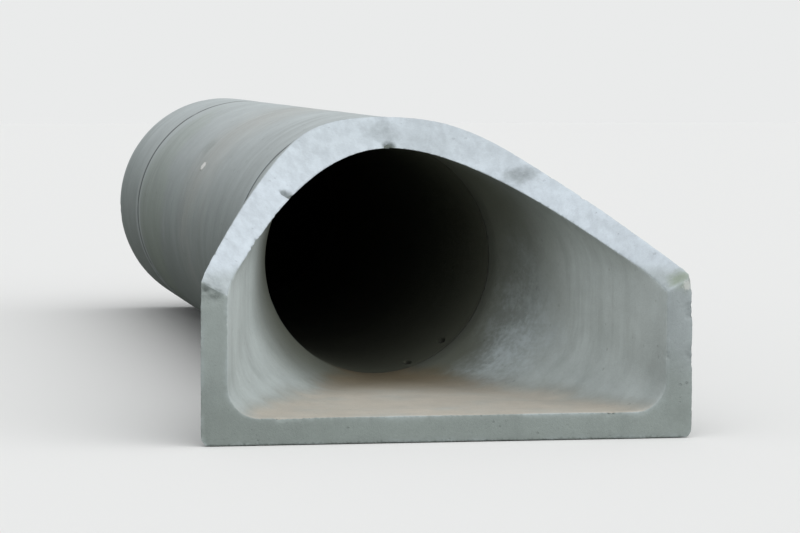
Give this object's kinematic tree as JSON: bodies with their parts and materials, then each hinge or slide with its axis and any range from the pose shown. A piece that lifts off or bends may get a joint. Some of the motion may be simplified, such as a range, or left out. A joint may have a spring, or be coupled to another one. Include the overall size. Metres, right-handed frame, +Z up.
{
  "type": "culvert outlet with flared end section and pipe",
  "caption": "Precast concrete culvert outlet: a flared end section with flat toe, sloping rim and round barrel, joined to exposed concrete pipe lengths by sealed tongue and groove joints.",
  "frame": {"origin": "middle of the bounding box, at the height of the flat underside", "axes": "+Y upstream along the pipe, away from the toe; +Z up; +X across, to the right when facing upstream"},
  "size_m": [2.3368, 8.2536, 1.48],
  "materials": {
    "concrete_end_section": "matte",
    "concrete_pipe": "matte",
    "mastic": "matte"
  },
  "bodies": {
    "root": {"flared_end_section": "concrete_end_section", "joint_seal_1": "mastic", "pipe_length_1": "concrete_pipe", "joint_seal_2": "mastic", "pipe_length_2": "concrete_pipe"}
  },
  "joints": []
}
